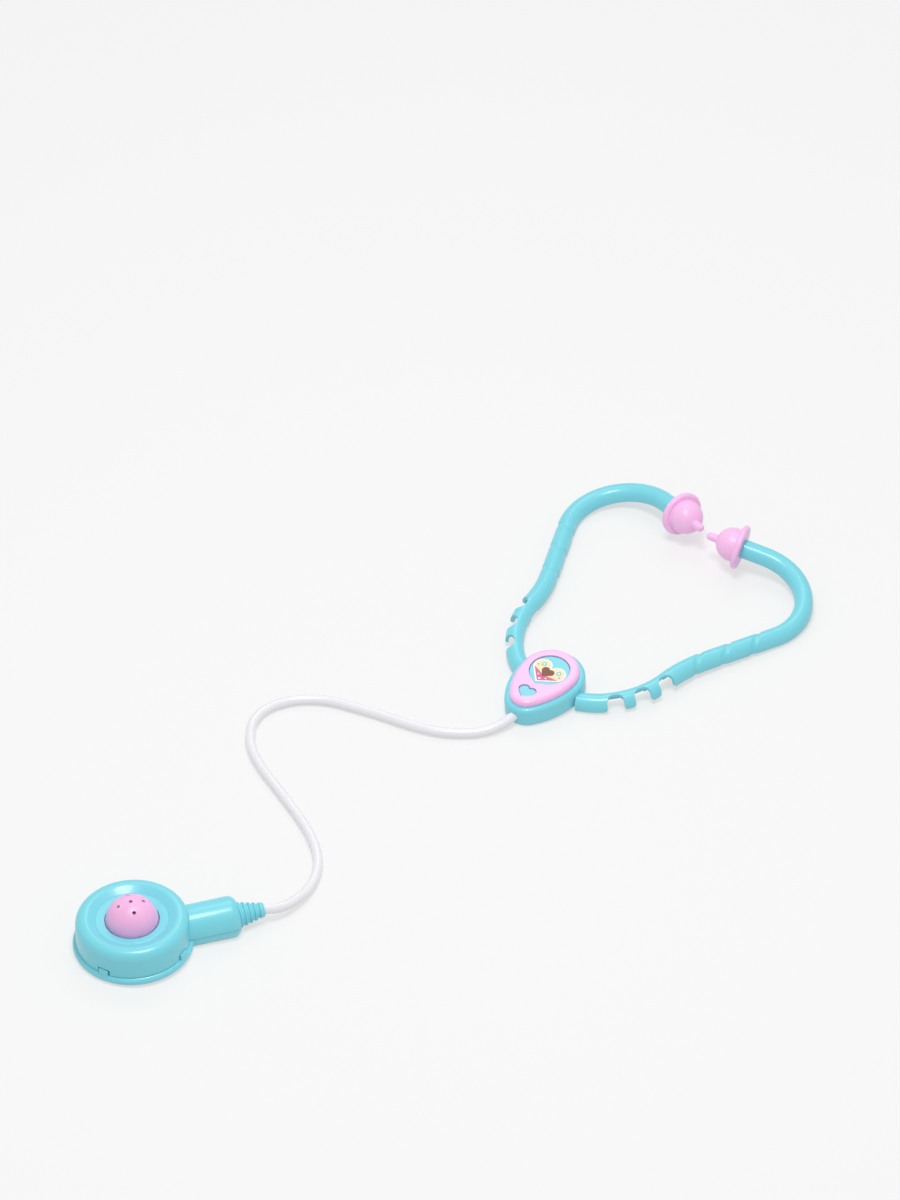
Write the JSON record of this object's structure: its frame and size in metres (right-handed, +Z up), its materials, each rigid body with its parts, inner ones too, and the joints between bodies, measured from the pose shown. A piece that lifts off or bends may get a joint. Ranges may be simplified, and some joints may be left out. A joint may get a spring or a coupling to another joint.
{
  "type": "toy stethoscope",
  "caption": "Toy stethoscope: drum-shaped chest piece with a press-in dome button, soft hose, and a headset whose notched arms spring apart and end in soft flanged ear tips.",
  "frame": {"origin": "centre of the chest piece's flat underside", "axes": "+Z up from the surface it lies on; +Y along the headset from the yoke to the ear tips; +X to the right seen from above"},
  "size_m": [0.2052, 0.5242, 0.0367],
  "materials": {
    "aqua": "satin moulded polypropylene, pale turquoise",
    "aqua_soft": "soft moulded PVC, pale turquoise",
    "pink": "gloss moulded plastic, pale pink",
    "pink_soft": "soft moulded PVC, pale pink",
    "hose_white": "gloss soft PVC tube, white",
    "inner_white": "plain white plastic",
    "label": "printed film, own plain heart design",
    "screw_steel": "zinc-plated steel"
  },
  "bodies": {
    "stethoscope": {"chest_base": "aqua", "chest_cover": "aqua", "squeaker_bellows": "inner_white", "squeaker_reed": "inner_white", "strain_relief": "aqua_soft", "hose": "hose_white", "yoke_front": "aqua", "yoke_back": "aqua", "yoke_screws": "screw_steel", "yoke_fascia": "pink", "heart_sticker": "label", "left_arm_root": "aqua", "left_flex_neck": "aqua", "right_arm_root": "aqua", "right_flex_neck": "aqua"},
    "button": {"dome_button": "pink"},
    "left_arm": {"left_arm": "aqua", "left_ear_tip": "pink_soft"},
    "right_arm": {"right_arm": "aqua", "right_ear_tip": "pink_soft"}
  },
  "joints": [
    {"name": "button_press", "type": "slide", "parent": "stethoscope", "child": "button", "axis": [0.0194, 0.0274, -0.9994], "range_m": [0, 0.003], "stiffness_N_per_m": 400, "springref_m": -0.001, "deforming": ["squeaker_bellows"]},
    {"name": "left_arm_flex", "type": "hinge", "parent": "stethoscope", "child": "left_arm", "pos_m": [0.00786, 0.34664, 0.00515], "axis": [0, -0.0565, 0.9984], "range_deg": [-1, 25], "stiffness_Nm_per_rad": 0.6, "deforming": ["left_flex_neck"]},
    {"name": "right_arm_flex", "type": "hinge", "parent": "stethoscope", "child": "right_arm", "pos_m": [0.09488, 0.3467, 0.00515], "axis": [0, 0.0565, -0.9984], "range_deg": [-1, 25], "stiffness_Nm_per_rad": 0.6, "deforming": ["right_flex_neck"]}
  ]
}
